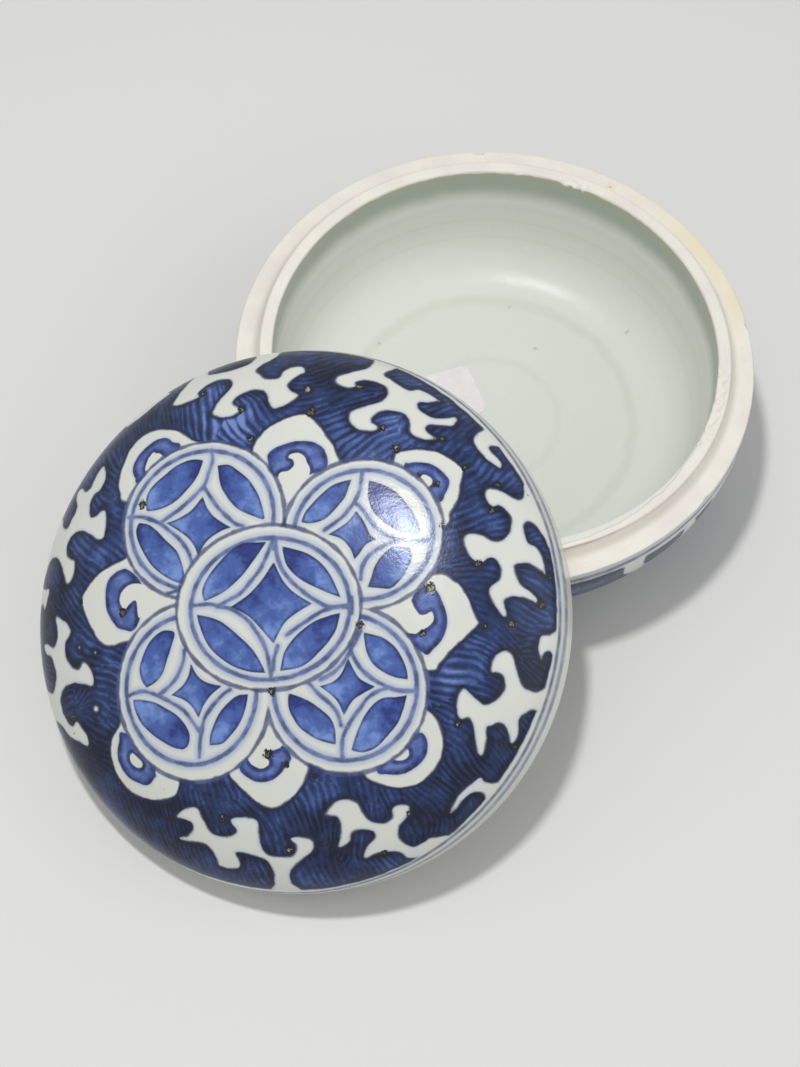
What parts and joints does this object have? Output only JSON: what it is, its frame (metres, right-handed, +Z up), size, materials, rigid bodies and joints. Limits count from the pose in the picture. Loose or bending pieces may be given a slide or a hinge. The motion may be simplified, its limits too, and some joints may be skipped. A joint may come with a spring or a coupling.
{
  "type": "seal paste box",
  "caption": "Round porcelain box for seal paste: a bowl on a foot ring with a raised lip, and a domed lid leaning on it, painted in cobalt blue.",
  "frame": {"origin": "on the table under the middle of the pair, bowl and leaning lid together", "axes": "+Z up; the bowl stands on +Y and the lid leans out along -Y, so +X runs across both"},
  "size_m": [0.076, 0.1224, 0.0402],
  "materials": {
    "bowl_porcelain": "glossy bluish white glaze inside and out, bare cream biscuit on the ledge, lip and foot ring",
    "lid_porcelain": "glossy clear glaze over brush-painted cobalt blue on white, bare cream biscuit on the rim",
    "label_paper": "matte coated paper"
  },
  "bodies": {
    "base": {"base": "bowl_porcelain", "paper_label": "label_paper"},
    "lid": {"lid": "lid_porcelain"}
  },
  "joints": [
    {"name": "lid_lift", "type": "slide", "parent": "base", "child": "lid", "axis": [0, 0, 1], "range_m": [0, 0.05]}
  ]
}
